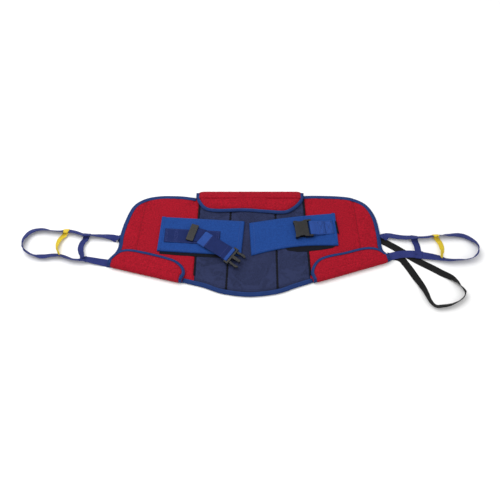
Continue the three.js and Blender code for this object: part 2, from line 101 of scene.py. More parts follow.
# lifting loops, rungs and carrying strap: x, y, turn of the width in degrees, height under the edge
LEFT_LOOP = [
    (-411, 25, 0, 0.3), (-430, 29, 26, 0.3), (-456, 31, 40, 0.3), (-485, 33, 52, 0.3), (-512, 35, 48, 0.3),
    (-540, 45, 45, 0.3), (-562, 48, 38, 0.3), (-586, 47, 56, 0.3), (-612, 49, 60, 0.3), (-645, 54, 44, 0.3),
    (-673, 46, 35, 0.3), (-688, 28, 42, 0.3), (-694, 3, 68, 0.3), (-690, -11, 92, 0.3),
    (-680, -25, 117, 0.3), (-659, -37, 122, 0.3), (-629, -41, 148, 0.3), (-596, -37, 140, 0.3),
    (-570, -40, 130, 0.3), (-538, -52, 126, 0.3), (-513, -53, 129, 0.3), (-497, -50, 155, 0.3),
    (-461, -56, 168, 0.3), (-437, -60, 178, 0.3),
]
LEFT_NAVY_RUNG = [(-504, 21, 22, 0.3), (-512, 8, 24, 0.3), (-516, -8, 28, 0.3), (-514, -22, 36, 0.3),
                  (-511, -31, 50, 0.3)]
LEFT_YELLOW_RUNG = [(-571, 34, 22, 0.3), (-581, 22, 30, 0.3), (-586, 8, 38, 0.3), (-587, -6, 54, 0.3),
                    (-586, -18, 80, 0.3)]
RIGHT_LOOP = [
    (413, 30, 0, 2.6), (425, 33, -26, 1), (450, 29, -29, 0.3), (473, 26, -31, 0.3), (492, 26, -36, 0.3),
    (510, 25, -49, 0.3), (543, 26, -48, 0.3), (567, 31, -53, 0.3), (590, 32, -60, 0.3), (607, 33, -46, 0.3),
    (645, 34, -32, 0.3), (663, 28, -32, 0.3), (680, 16, -38, 0.3), (692, 2, -52, 0.3), (695, -14, -78, 0.3),
    (686, -38, -108, 0.3), (668, -50, -113, 0.3), (628, -54, -127, 0.3), (594, -53, -137, 0.3),
    (572, -46, -157, 2.2), (538, -39, -172, 4), (493, -32, -178, 4.8), (458, -33, -180, 5.2),
    (438, -37, -180, 4.6),
]
RIGHT_NAVY_RUNG = [(505, 12, -14, 0.3), (508, 4, -18, 0.3), (510, -6, -20, 0.3), (511, -17, -20, 0.3)]
RIGHT_YELLOW_RUNG = [(575, 20, -14, 0.3), (581, 8, -18, 0.3), (584, -4, -22, 0.3), (584, -18, -36, 0.3),
                     (583, -27, -60, 0.3)]
CARRY_ROUTE = [
    (411, 14, 0, 0.1), (436, -2, 0, 0.1), (458, -17, 0, 0.1), (505, -51, 0, 0.1), (547, -76, 0, 0.1),
    (579, -96, 0, 0.1), (601, -109, -9, 0.1), (615, -123, -36, 0.1), (626, -140, -60, 0.1),
    (637, -157, -75, 0.1), (639, -168, -90, 0.1), (626, -187, -107, 0.1), (602, -201, -118, 0.1),
    (588, -206, -130, 0.1), (569, -209, -136, 0.1), (551, -210, -138, 0.1), (540, -203, -137, 0.1),
    (530, -185, -138, 0.1), (523, -163, -148, 0.1), (513, -139, -165, 0.1), (496, -107, -178, 0.1),
    (471, -63, -180, 0.1), (457, -45, -180, 0.1),
]


def place(x=0, y=0, angle=0, parent=None):
    """A place on the sling, in mm and degrees, like the groups the frame is built from."""
    step = Matrix.Translation((x, y, 0)) @ Matrix.Rotation(math.radians(angle), 4, "Z")
    return parent @ step if parent else step


LEFT_BELT = place(-277, 34, -3.6)
LEFT_LANE = place(0, -7, 0, LEFT_BELT)
ADJUSTER_LANE = place(101, 3.5, -14.6, LEFT_BELT)
TAIL = place(-146, 13, -35.2)
RIGHT_BELT = place(266, 50, 187.6)
BUCKLE_LANE = place(0, -7, 0, RIGHT_BELT)


# ---- camera

CAMERA_LENS = 70.8
CAMERA_DISTANCE = 3.0
CAMERA_ELEVATION = math.radians(60)
CAMERA_TARGET = Vector((0, -0.014, 0))


def add_camera():
    data = bpy.data.cameras.new("camera")
    data.sensor_width = 36
    data.lens = CAMERA_LENS
    camera = bpy.data.objects.new("camera", data)
    bpy.context.scene.collection.objects.link(camera)
    back = Vector((0, -math.cos(CAMERA_ELEVATION), math.sin(CAMERA_ELEVATION)))
    camera.location = CAMERA_TARGET + CAMERA_DISTANCE * back
    camera.rotation_euler = back.to_track_quat("Z", "Y").to_euler()
    bpy.context.scene.camera = camera


# ---- materials

def linear(red, green, blue):
    """A display colour, 0 to 255, as the linear colour a shader takes."""
    def channel(value):
        value /= 255
        return value / 12.92 if value <= 0.04045 else ((value + 0.055) / 1.055) ** 2.4
    return (channel(red), channel(green), channel(blue), 1)


class Shader:
    """A node material put together from short calls."""

    def __init__(self, name, slot):
        self.material = bpy.data.materials.new(name)
        self.material.use_nodes = True
        self.material["slot"] = slot
        self.nodes = self.material.node_tree.nodes
        self.links = self.material.node_tree.links
        self.surface = self.nodes["Principled BSDF"]

    def node(self, kind, **inputs):
        node = self.nodes.new("ShaderNode" + kind)
        for key, value in inputs.items():
            name = key.replace("_", " ")
            if hasattr(node, key) and name not in node.inputs:
                setattr(node, key, value)
            else:
                self.feed(node.inputs[name], value)
        return node

    def feed(self, socket, value):
        if hasattr(value, "is_output"):
            self.links.new(value, socket)
        else:
            socket.default_value = value

    def math(self, operation, a, b=0.0):
        node = self.nodes.new("ShaderNodeMath")
        node.operation = operation
        self.feed(node.inputs[0], a)
        self.feed(node.inputs[1], b)
        return node.outputs[0]

    def plus(self, a, b):
        return self.math("ADD", a, b)

    def minus(self, a, b):
        return self.math("SUBTRACT", a, b)

    def times(self, a, b):
        return self.math("MULTIPLY", a, b)

    def mix(self, share, a, b):
        node = self.nodes.new("ShaderNodeMix")
        node.data_type = "RGBA"
        self.feed(node.inputs[0], share)
        self.feed(node.inputs[6], a)
        self.feed(node.inputs[7], b)
        return node.outputs[2]

    def millimetres(self, uv=False):
        """Where the shaded point is, in mm: in the object, or along and across webbing."""
        source = self.nodes.new("ShaderNodeTexCoord").outputs["UV" if uv else "Object"]
        scale = self.nodes.new("ShaderNodeVectorMath")
        scale.operation = "SCALE"
        self.feed(scale.inputs[0], source)
        scale.inputs["Scale"].default_value = 1 if uv else 1000
        return scale.outputs[0]

    def noise(self, where, size, detail=2.0):
        node = self.node("TexNoise", Vector=where, Scale=1 / size, Detail=detail)
        return node.outputs[0]

    def finish(self, color, height, depth, roughness, sheen=0.0, tint=(1, 1, 1, 1), specular=0.12):
        bump = self.node("Bump", Height=height, Distance=depth * MM, Strength=1.0)
        self.feed(self.surface.inputs["Base Color"], color)
        self.feed(self.surface.inputs["Normal"], bump.outputs[0])
        self.feed(self.surface.inputs["Roughness"], roughness)
        self.surface.inputs["Specular IOR Level"].default_value = specular
        self.surface.inputs["Sheen Weight"].default_value = sheen
        self.surface.inputs["Sheen Roughness"].default_value = 0.5
        self.surface.inputs["Sheen Tint"].default_value = tint
        return self.material


def woven(name, slot, color, shade, thread, depth, mottle, sheen, roughness=0.85):
    """Plain woven cloth: a crossed thread pattern, uneven dye and a little wear."""
    s = Shader(name, slot)
    where = s.millimetres()
    split = s.node("SeparateXYZ", Vector=where)
    turn = math.tau / (2 * thread)
    warp = s.math("SINE", s.times(split.outputs[0], turn))
    weft = s.math("SINE", s.times(split.outputs[1], turn))
    weave = s.plus(s.times(s.times(warp, weft), 0.5), 0.5)
    uneven = s.noise(where, 60, 3.0)
    grain = s.noise(where, 3.2, 3.0)
    wear = s.noise(where, 9, 4.0)
    spread = s.plus(s.times(s.minus(grain, 0.5), mottle), 0.5)
    spread = s.plus(spread, s.times(s.minus(uneven, 0.5), 0.3))
    spread = s.plus(spread, s.times(s.minus(weave, 0.5), 0.35))
    node = s.node("Clamp", Value=spread)
    base = s.mix(node.outputs[0], linear(*shade), linear(*color))
    height = s.plus(s.times(weave, 0.7), s.times(grain, 0.5))
    rough = s.plus(roughness - 0.06, s.times(wear, 0.12))
    return s.finish(base, height, depth, rough, sheen, linear(*color))


def spacer_mesh(name, slot, color, hole_shade, cell, depth):
    """Knitted spacer mesh: rows of small holes, painted near-black as the shade inside them, in a soft face.
    """
    s = Shader(name, slot)
    where = s.millimetres()
    cells = s.node("TexVoronoi", Vector=where, Scale=1 / cell, Randomness=0.35)
    open_share = s.node("MapRange", Value=cells.outputs["Distance"], From_Min=0.18, From_Max=0.42)
    uneven = s.noise(where, 45, 3.0)
    grain = s.noise(where, 1.6, 2.0)
    light = s.plus(s.times(open_share.outputs[0], 0.75), s.times(grain, 0.45))
    light = s.plus(light, s.times(s.minus(uneven, 0.5), 0.6))
    clamp = s.node("Clamp", Value=light)
    base = s.mix(clamp.outputs[0], linear(*hole_shade), linear(*color))
    height = s.plus(open_share.outputs[0], s.times(grain, 0.3))
    return s.finish(base, height, depth, 0.88, 0.03, linear(*color))


def webbing(name, slot, color, shade, rib=1.7, depth=0.32, sheen=0.03):
    """Woven strap: a herringbone of ribs that run across it, with plain selvedges."""
    s = Shader(name, slot)
    where = s.millimetres(uv=True)
    split = s.node("SeparateXYZ", Vector=where)
    across, along = split.outputs[0], split.outputs[1]
    slope = s.math("PINGPONG", across, 3.1)
    lean = s.plus(along, s.times(slope, 0.8))
    ribs = s.math("SINE", s.times(lean, math.tau / rib))
    ribs = s.plus(s.times(ribs, 0.5), 0.5)
    column = s.math("SINE", s.times(across, math.tau / 3.1))
    column = s.plus(s.times(column, 0.5), 0.5)
    grain = s.noise(where, 1.3, 2.0)
    uneven = s.noise(where, 30, 3.0)
    light = s.plus(s.times(ribs, 0.35), s.times(grain, 0.5))
    light = s.plus(light, s.times(s.minus(uneven, 0.3), 0.5))
    clamp = s.node("Clamp", Value=light)
    base = s.mix(clamp.outputs[0], linear(*shade), linear(*color))
    height = s.plus(ribs, s.times(column, 0.35))
    height = s.plus(height, s.times(grain, 0.3))
    rough = s.plus(0.6, s.times(grain, 0.25))
    return s.finish(base, height, depth, rough, sheen, linear(*color))


def thread_look(name, slot, color):
    s = Shader(name, slot)
    where = s.millimetres()
    grain = s.noise(where, 0.5, 1.0)
    shade = tuple(value * 0.7 for value in color)
    base = s.mix(grain, linear(*shade), linear(*color))
    return s.finish(base, grain, 0.1, 0.6, 0.1)


def moulded(name, slot, color, scuffed):
    """Moulded acetal: fine spark-eroded grain, scuffed lighter here and there."""
    s = Shader(name, slot)
    where = s.millimetres()
    grain = s.noise(where, 0.6, 3.0)
    scuffs = s.node("MapRange", Value=s.noise(where, 7, 6.0), From_Min=0.52, From_Max=0.75)
    base = s.mix(s.times(scuffs.outputs[0], 0.45), linear(*color), linear(*scuffed))
    rough = s.plus(0.36, s.times(scuffs.outputs[0], 0.25))
    return s.finish(base, grain, 0.06, rough, specular=0.4)


RED = woven("red fabric", "red_fabric", (168, 17, 38), (120, 10, 26), 0.9, 0.16, 2.6, 0.03)
# the second colour is the painted shade inside the mesh's holes
NAVY = spacer_mesh("navy mesh", "navy_mesh", (43, 50, 82), (4, 5, 14), 3.0, 0.5)
SHELL = woven("shell fabric", "shell_fabric", (40, 48, 90), (26, 30, 58), 0.8, 0.1, 0.8, 0.02)
BLUE = woven("blue fabric", "blue_fabric", (30, 71, 142), (22, 52, 112), 0.8, 0.1, 1.6, 0.03)
TAPE = webbing("blue binding", "blue_binding", (36, 64, 122), (16, 30, 72), 1.1, 0.18)
INDIGO = webbing("navy webbing", "navy_webbing", (58, 68, 134), (24, 30, 78))
BELT_WEB = webbing("belt webbing", "navy_webbing", (33, 50, 108), (14, 22, 60))
# lighter blue webbing; on the strap tail it is also a painted highlight on the rounded folds
LIGHT_WEB_AND_FOLD_HIGHLIGHT = webbing("light webbing", "navy_webbing", (50, 88, 166), (26, 50, 112))
YELLOW = webbing("yellow webbing", "yellow_webbing", (246, 224, 72), (196, 158, 30))
BLACK = webbing("black webbing", "black_webbing", (36, 36, 36), (12, 12, 13))
# near-black cloth: the belts' real black underside, and also painted shadow under the belts and painted
# shade along the body's seams
BACKING_AND_PAINTED_SHADE = woven("black backing", "black_webbing", (22, 24, 34), (8, 8, 14), 0.9, 0.15, 1.0, 0.02)
BLUE_THREAD = thread_look("blue thread", "blue_fabric", (66, 96, 170))
NAVY_THREAD = thread_look("navy thread", "navy_mesh", (16, 16, 26))
# red thread made much darker than the red cloth: its stitches paint shade along the side seams and along the
# pleat
RED_THREAD_AND_CREASE_SHADE = thread_look("red thread", "red_fabric", (84, 8, 20))
STRAP_THREAD = thread_look("strap thread", "navy_webbing", (78, 92, 166))
PLASTIC = moulded("black plastic", "black_plastic", (11, 11, 11), (36, 36, 34))


# ---- points and lines

def lengths_of(points):
    return np.concatenate([[0], np.cumsum(np.linalg.norm(np.diff(points, axis=0), axis=1))])


def even(points, count):
    """That many points at equal distances along an open line."""
    points = np.asarray(points, float)
    lengths = lengths_of(points)
    at = np.linspace(0, lengths[-1], count)
    return np.column_stack([np.interp(at, lengths, points[:, k]) for k in range(points.shape[1])])


def between(a, b, low, high, now):
    return ((high - now) * a + (now - low) * b) / (high - low)


def spline(points, count, power=0.5, steps=24):
    """Evenly spaced points along a smooth curve, and the share of its length where each given point lies."""
    points = np.asarray(points, float)
    knots = np.vstack([2 * points[0] - points[1], points, 2 * points[-1] - points[-2]])
    dense = []
    for i in range(1, len(knots) - 2):
        p = knots[i - 1:i + 3]
        gaps = np.maximum(np.linalg.norm(np.diff(p, axis=0), axis=1), 1e-6)
        t = np.concatenate([[0], np.cumsum(gaps ** power)])
        for now in np.linspace(t[1], t[2], steps, endpoint=False):
            first = [between(p[k], p[k + 1], t[k], t[k + 1], now) for k in range(3)]
            second = [between(first[k], first[k + 1], t[k], t[k + 2], now) for k in range(2)]
            dense.append(between(second[0], second[1], t[1], t[2], now))
    dense = np.array(dense + [points[-1]])
    lengths = lengths_of(dense)
    return even(dense, count), lengths[::steps] / lengths[-1]


def offset(points, distance):
    """A line in plan moved sideways: to its left where the distance is positive."""
    points = np.asarray(points, float)
    forward = np.gradient(points, axis=0)
    forward /= np.linalg.norm(forward, axis=1)[:, None]
    return points + np.column_stack([-forward[:, 1], forward[:, 0]]) * distance


def distance_to(points, line, closed=False):
    """Distance in plan from each point to a line."""
    points = np.asarray(points, float)[:, :2]
    line = np.asarray(line, float)[:, :2]
    ends = np.vstack([line, line[:1]]) if closed else line
    best = np.full(len(points), np.inf)
    for a, b in zip(ends[:-1], ends[1:]):
        along = b - a
        share = np.clip((points - a) @ along / max(along @ along, 1e-12), 0, 1)
        best = np.minimum(best, np.linalg.norm(points - a - share[:, None] * along, axis=1))
    return best


def inside(points, loop):
    """Which points lie inside a closed outline."""
    x, y = points[:, 0], points[:, 1]
    result = np.zeros(len(points), bool)
    for (x0, y0), (x1, y1) in zip(loop, np.roll(loop, -1, 0)):
        if y0 == y1:
            continue
        crosses = (y0 > y) != (y1 > y)
        result ^= crosses & (x < x0 + (y - y0) * (x1 - x0) / (y1 - y0))
    return result


def waves(points, size, seed):
    """Smooth noise from -1 to 1 at each point in plan."""
    return np.array([noise.noise(Vector((p[0] / size, p[1] / size, seed))) for p in points])


def soften(points):
    """A closed section with its corners cut."""
    points = np.asarray(points, float)
    ahead = np.roll(points, -1, 0)
    return np.stack([0.75 * points + 0.25 * ahead, 0.25 * points + 0.75 * ahead], 1).reshape(-1, 2)


def dome(gap, rounding):
    """0 at the edge, 1 beyond the rounding, with a round shoulder."""
    share = np.clip(np.asarray(gap) / rounding, 0, 1)
    return np.sqrt(np.clip(1 - (1 - share) ** 2, 0, 1))


def ease(share):
    share = np.clip(share, 0, 1)
    return share * share * (3 - 2 * share)


def plan_outline(node):
    """The outline of a flat piece of the frame seen from above, as a closed loop in mm."""
    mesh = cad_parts[node].data
    top = max(v.co.z for v in mesh.vertices)
    edges = set()
    for polygon in mesh.polygons:
        if polygon.normal.z < 0.9 or mesh.vertices[polygon.vertices[0]].co.z < top - 1e-5:
            continue
        keys = [tuple(round(c * 1000, 2) for c in mesh.vertices[i].co[:2]) for i in polygon.vertices]
        edges.update(zip(keys, keys[1:] + keys[:1]))
    follow = {a: b for a, b in edges if (b, a) not in edges}
    start = min(follow)
    loop = [start]
    while follow[loop[-1]] != start:
        loop.append(follow[loop[-1]])
    return np.array(loop)


# ---- pieces

def new_piece(name, verts, faces, look, body=None, at=None):
    """A mesh from points in mm, put in place, that moves with a body of the frame."""
    mesh = bpy.data.meshes.new(name)
    points = [(at @ Vector(v) if at else Vector(v)) * MM for v in verts]
    mesh.from_pydata(points, [], faces)
    shape = bmesh.new()
    shape.from_mesh(mesh)
    bmesh.ops.recalc_face_normals(shape, faces=shape.faces)
    shape.to_mesh(mesh)
    shape.free()
    mesh.polygons.foreach_set("use_smooth", [True] * len(mesh.polygons))
    mesh.materials.append(look)
    piece = bpy.data.objects.new(name, mesh)
    bpy.context.scene.collection.objects.link(piece)
    if body:
        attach(piece, body)
    return piece


def inflate(piece, held, cap):
    """Fill a piece's cloth with air for a moment: held points stay, and none moves further than the cap."""
    group = piece.vertex_groups.new(name="held")
    group.add([int(i) for i in held], 1.0, "REPLACE")
    modifier = piece.modifiers.new("cloth", "CLOTH")
    cloth = modifier.settings
    cloth.vertex_group_mass = "held"
    cloth.use_pressure = True
    cloth.uniform_pressure_force = CLOTH_PRESSURE
    cloth.effector_weights.gravity = 0
    cloth.shrink_min = cloth.shrink_max = CLOTH_SLACK
    modifier.collision_settings.use_collision = False
    scene = bpy.context.scene
    modifier.point_cache.frame_start, modifier.point_cache.frame_end = 1, CLOTH_FRAMES
    for frame_number in range(1, CLOTH_FRAMES + 1):
        scene.frame_set(frame_number)
    swollen = piece.evaluated_get(bpy.context.evaluated_depsgraph_get()).to_mesh()
    after, before = np.empty(3 * len(piece.data.vertices)), np.empty(3 * len(piece.data.vertices))
    swollen.vertices.foreach_get("co", after)
    piece.data.vertices.foreach_get("co", before)
    piece.modifiers.remove(modifier)
    piece.vertex_groups.remove(group)
    scene.frame_set(1)
    move = (after - before).reshape(-1, 3)
    size = np.maximum(np.linalg.norm(move, axis=1), 1e-9)[:, None]
    move *= cap * MM * np.tanh(size / (cap * MM)) / size
    piece.data.vertices.foreach_set("co", before + move.ravel())
    piece.data.update()


def pad(name, outline, spacing, top, bottom, look, body, at=None, rounding=6, seams=(), cap=0):
    """A closed soft solid over an outline; top and bottom give heights from points and edge distances.

    With a cap, in mm, its cloth is then inflated between its edge and its seams. Returns the piece,
    and a function that lifts points in plan onto its upper side.
    """
    loop = np.vstack([outline, outline[:1]])
    border = np.vstack([even([a, b], max(2, int(round(np.linalg.norm(b - a) / spacing)) + 1))[:-1]
                        for a, b in zip(loop[:-1], loop[1:])])
    keep = np.concatenate([[True], np.linalg.norm(np.diff(border, axis=0), axis=1) > 0.4])
    border = border[keep]
    low, high = border.min(0), border.max(0)
    rows = np.arange(low[1], high[1], spacing * 0.87)
    grid = np.array([(x + (spacing / 2 if j % 2 else 0), y) for j, y in enumerate(rows)
                     for x in np.arange(low[0], high[0], spacing)])
    grid = grid[inside(grid, border)]
    grid = grid[distance_to(grid, border, closed=True) > rounding + spacing * 0.55]
    forward = np.roll(border, -1, 0) - np.roll(border, 1, 0)
    normal = np.column_stack([-forward[:, 1], forward[:, 0]]) / np.linalg.norm(forward, axis=1)[:, None]
    area = np.sum(border[:, 0] * np.roll(border[:, 1], -1) - np.roll(border[:, 0], -1) * border[:, 1])
    rings = []
    for share in (0.07, 0.25, 0.55, 1.0):
        ring = border + normal * rounding * share * (1 if area > 0 else -1)
        near = distance_to(ring, border, closed=True) > rounding * share * 0.93
        rings.append(ring[inside(ring, border) & near])
    points = np.vstack([border] + rings + [grid])
    edges = [(i, (i + 1) % len(border)) for i in range(len(border))]
    found, _, faces, _, _, _ = delaunay_2d_cdt([Vector(p) for p in points], edges, [], 1, 1e-6)
    plan = np.array([tuple(v) for v in found])
    gap = distance_to(plan, border, closed=True)
    gap[gap < 0.01] = 0
    upper = np.column_stack([plan, top(plan, gap)])
    lower = np.column_stack([plan, bottom(plan, gap)])
    count = len(plan)
    used = {(a, b) for face in faces for a, b in zip(face, list(face[1:]) + [face[0]])}
    rim = [(a, b) for a, b in used if (b, a) not in used]
    solid = [tuple(face) for face in faces] + [tuple(i + count for i in reversed(face)) for face in faces]
    solid += [(b, a, a + count, b + count) for a, b in rim]
    piece = new_piece(name, np.vstack([upper, lower]), solid, look, body, at)
    if cap:
        still = gap < 2
        for seam in seams:
            still |= distance_to(plan, seam) < 0.6 * spacing
        inflate(piece, np.concatenate([np.where(still)[0], np.arange(count, 2 * count)]), cap)
    back = at.inverted() if at else Matrix()
    shape = [back @ (v.co / MM) for v in piece.data.vertices]
    tree = BVHTree.FromPolygons(shape, [tuple(face) for face in faces])

    def height(line):
        line = np.asarray(line, float)[:, :2]
        plain = top(line, distance_to(line, border, closed=True))
        hits = [tree.ray_cast(Vector((x, y, 60)), Vector((0, 0, -1)))[0] for x, y in line]
        return np.array([(x, y, hit.z if hit else z) for (x, y), hit, z in zip(line, hits, plain)])
    return piece, height


def sweep(name, centres, across, section, look, body=None, at=None):
    """A closed band: the section's (side, rise) points are laid out at each centre."""
    centres = [Vector(c) for c in centres]
    sections = section if isinstance(section, list) else [section] * len(centres)
    size = len(sections[0])
    verts, lay, run = [], [], 0.0
    for i, centre in enumerate(centres):
        along = (centres[min(i + 1, len(centres) - 1)] - centres[max(i - 1, 0)]).normalized()
        wide = Vector(across[i])
        side = (wide - wide.dot(along) * along).normalized()
        normal = along.cross(side)
        run += (centre - centres[i - 1]).length if i else 0
        for a, n in sections[i]:
            verts.append(centre + side * a + normal * n)
            lay.append((a, run))
    faces = []
    for i in range(len(centres) - 1):
        for k in range(size):
            a, b = i * size + k, i * size + (k + 1) % size
            faces.append((a, b, b + size, a + size))
    faces.append(tuple(reversed(range(size))))
    faces.append(tuple(range((len(centres) - 1) * size, len(centres) * size)))
    piece = new_piece(name, verts, faces, look, body, at)
    layer = piece.data.uv_layers.new(name="lay")
    for loop in piece.data.loops:
        layer.data[loop.index].uv = lay[loop.vertex_index]
    return piece


def ribbon(width, thickness=WEB, parts=8):
    """Webbing cut across: two flat faces and round, slightly thicker selvedges."""
    half, thick = width / 2, thickness / 2
    upper = []
    for k in range(parts + 1):
        upper.append((half - 0.5 - (width - 1) * k / parts, thick * (0.92 + 0.1 * (k in (0, parts)))))
    lower = [(-a, -n) for a, n in upper]
    return np.array([(half, -thick * 0.4), (half, thick * 0.4)] + upper
                    + [(-half, thick * 0.4), (-half, -thick * 0.4)] + lower)


class Threads:
    """Stitches gathered into one mesh: short rounded dashes along lines, in mm."""

    def __init__(self, name, look, body, at=None):
        self.name, self.look, self.body, self.at = name, look, body, at
        self.verts, self.faces = [], []

    def line(self, points, pitch=4.6, radius=0.36):
        points = np.asarray(points, float)
        lengths = lengths_of(points)
        count = max(1, int(lengths[-1] / pitch))
        for k in range(count):
            at = (k + 0.5) * lengths[-1] / count + DASH * np.array([-0.5, -0.25, 0.25, 0.5])
            along = [Vector([np.interp(a, lengths, points[:, c]) for c in range(3)]) for a in at]
            self.dash(along, radius)

    def dash(self, spine, radius):
        along = (spine[-1] - spine[0]).normalized()
        side = along.cross(UP).normalized()
        rise = side.cross(along)
        first = len(self.verts)
        for centre, size, lift in zip(spine, (0.4, 1, 1, 0.4), (-0.7, 0.4, 0.4, -0.7)):
            for k in range(6):
                turn = math.tau * k / 6
                self.verts.append(centre + radius * (side * math.cos(turn) * size
                                                     + rise * (math.sin(turn) * size + lift)))
        for ring in range(3):
            for k in range(6):
                a, b = first + ring * 6 + k, first + ring * 6 + (k + 1) % 6
                self.faces.append((a, b, b + 6, a + 6))
        self.faces.append(tuple(first + k for k in reversed(range(6))))
        self.faces.append(tuple(first + 18 + k for k in range(6)))

    def build(self):
        return new_piece(self.name, self.verts, self.faces, self.look, self.body, self.at)


# ---- lifting loops and carrying strap

def laid(points, width, count):
    """Centres and width directions of webbing that lies on the floor, turned as its points say."""
    points = np.asarray(points, float)
    plan, stations = spline(points[:, :2], count)
    share = np.linspace(0, 1, count)
    eased = []
    for column in (2, 3):
        values = np.empty(count)
        for i, t in enumerate(share):
            k = min(max(int(np.searchsorted(stations, t)), 1), len(stations) - 1)
            part = ease((t - stations[k - 1]) / (stations[k] - stations[k - 1]))
            values[i] = points[k - 1, column] + (points[k, column] - points[k - 1, column]) * part
        eased.append(values)
    roll = np.radians(eased[0])
    rise = eased[1] + (np.abs(np.sin(roll)) * width + np.abs(np.cos(roll)) * WEB) / 2
    forward = np.gradient(plan, axis=0)
    forward /= np.linalg.norm(forward, axis=1)[:, None]
    left = np.column_stack([-forward[:, 1], forward[:, 0]])
    across = np.column_stack([left * np.cos(roll)[:, None], np.sin(roll)])
    return np.column_stack([plan, rise]), across


def sleeve(name, centres, across, near, length, look, body):
    """A short piece of webbing wrapped round a strap and sewn, centred near a point."""
    spacing = np.linalg.norm(centres[1] - centres[0])
    middle = int(np.argmin(np.linalg.norm(centres[:, :2] - np.asarray(near[:2]), axis=1)))
    reach = max(2, int(length / 2 / spacing))
    part = slice(max(middle - reach, 0), middle + reach + 1)
    section = soften(ribbon(LOOP_WIDTH + 2.2, WEB + 2.6))
    return sweep(name, centres[part], across[part], section, look, body)


def add_loop(side, points, roots, rungs):
    """A lifting loop with its rungs, laid from one root at the body's edge to the other."""
    body = f"{side}_loop"
    centres, across = laid([roots[0], *points, roots[1]], LOOP_WIDTH, 300)
    loop = sweep(f"{side}_lifting_loop_web", centres, across, ribbon(LOOP_WIDTH), INDIGO)
    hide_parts(f"{side}_lifting_loop")
    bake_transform(loop)
    for label, look, width, rung, ends, wraps in rungs:
        for k, near in enumerate(ends[:wraps]):
            name = f"{side}_{label}_wrap_{k + 1}"
            sleeve(name, centres, across, near, width, look, body)
        first_end = (*ends[0], rung[0][2], rung[0][3] + 2)
        last_end = (*ends[1], rung[-1][2], rung[-1][3] + 2)
        rung_centres, rung_across = laid([first_end, *rung, last_end], width, 50)
        piece = sweep(f"{side}_{label}_rung_web", rung_centres, rung_across, ribbon(width), look, body)
        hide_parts(f"{side}_{label}_rung")
    lengths_of(centres)[-1] * MM


def add_loops():
    left_roots = [(-399, 22, 40, 0.3), (-423, -62, 180, 0.3)]
    left = [("navy", INDIGO, 22, LEFT_NAVY_RUNG, [(-501, 34), (-507, -50)], 2),
            ("yellow", YELLOW, 20, LEFT_YELLOW_RUNG, [(-565, 47), (-577, -39)], 1)]
    add_loop("left", LEFT_LOOP, left_roots, left)
    right_roots = [(400, 27, -38, 0.6), (416, -43, -180, 4.2)]
    right = [("navy", INDIGO, 22, RIGHT_NAVY_RUNG, [(503, 25), (512, -34)], 2),
             ("yellow", YELLOW, 18, RIGHT_YELLOW_RUNG, [(569, 31), (580, -48)], 1)]
    add_loop("right", RIGHT_LOOP, right_roots, right)


def add_carry_strap():
    centres, across = laid([(399, 21, 0, 0.1), *CARRY_ROUTE, (416, -34, -180, 0.1)], CARRY_WIDTH, 240)
    strap = sweep("carry_strap_web", centres, across, ribbon(CARRY_WIDTH), BLACK, "carry_strap")
    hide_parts("carry_strap")
    lengths_of(centres)[-1] * MM


# ---- body

RIGHT_SIDE, _ = spline(RIGHT_SIDE_POINTS, 200, 0)
LEFT_SIDE = (spline(LEFT_SIDE_POINTS, 200, 0)[0] * [-1, 1])[::-1]
BOTTOM_EDGE, _ = spline(BOTTOM_POINTS, 160, 0)
BODY_TAPE = soften([
    (0.8, 2.7), (2.6, 2.1), (11.2, 2.1), (11.2, 8.4), (12.9, 8.7), (13.2, 9.5), (11.6, 10.1), (8, 9.9),
    (4.6, 9.2), (2, 7.9), (0.5, 6.2), (0.2, 4.2),
])
LEFT_SEAM = [(-322, 152), (-326, 133), (-334, 84), (-340, 36), (-346, -20), (-350, -60)]
RIGHT_SEAM = [(320, 160), (323, 148), (329, 80), (334, 20), (337, -20), (342, -60)]
CENTER_SEAMS = [[(-58, 170), (-60, 115), (-71, -152)], [(79, 170), (79, 115), (82, -150)]]


def tape(name, edge, section, body, at=None, seed=1.0):
    """Edge binding swept along an edge, a little uneven where it was gathered under the needle."""
    centres = np.column_stack([edge, np.zeros(len(edge))])
    inward = offset(edge, 1) - edge
    across = np.column_stack([inward, np.zeros(len(edge))])
    run = lengths_of(edge)
    middle = section[:, 1].mean()
    sections = []
    for length in run:
        fine = 0.045 * noise.noise(Vector((length / 5, seed, 0)))
        coarse = 0.05 * noise.noise(Vector((length / 30, seed, 5)))
        pucker = 1 + fine + coarse
        sections.append(np.column_stack([section[:, 0], middle + (section[:, 1] - middle) * pucker]))
    return sweep(name, centres, across, sections, TAPE, body, at)


def quilt(seams, depth, seed):
    """The upper side of a body panel: domed at its edge, drawn down along its seams, a little uneven."""
    def top(plan, gap):
        z = 8.5 + 4.0 * dome(gap - 1.5, 8)
        for seam in seams:
            near = distance_to(plan, seam)
            z = z - depth * np.exp(-(near / 3.2) ** 2) - 0.9 * np.exp(-(near / 13) ** 2)
        z = z - 0.45 * (1 + waves(plan, 55, seed)) - 0.22 * (1 + waves(plan, 14, seed + 7))
        pucker = 0.35 * waves(plan, 6, seed + 3) * np.exp(-(gap / 9) ** 2)
        return z + np.minimum(pucker, 0)
    return top


def flat_at(z):
    """The side of a pad that is level, at a height in mm."""
    return lambda plan, gap: np.full(len(plan), z)


def seam_shade_tape(name, line, width):
    """Dark tape laid over a seam of the body: painted shade along the seam's groove, and in part the seam's
    real dark piping.
    """
    centres = line + [0, 0, 0.7]
    across = np.tile([1.0, 0, 0], (len(line), 1))
    sweep(name, centres, across, ribbon(width, 1.2, 4), BACKING_AND_PAINTED_SHADE, "sling_body")


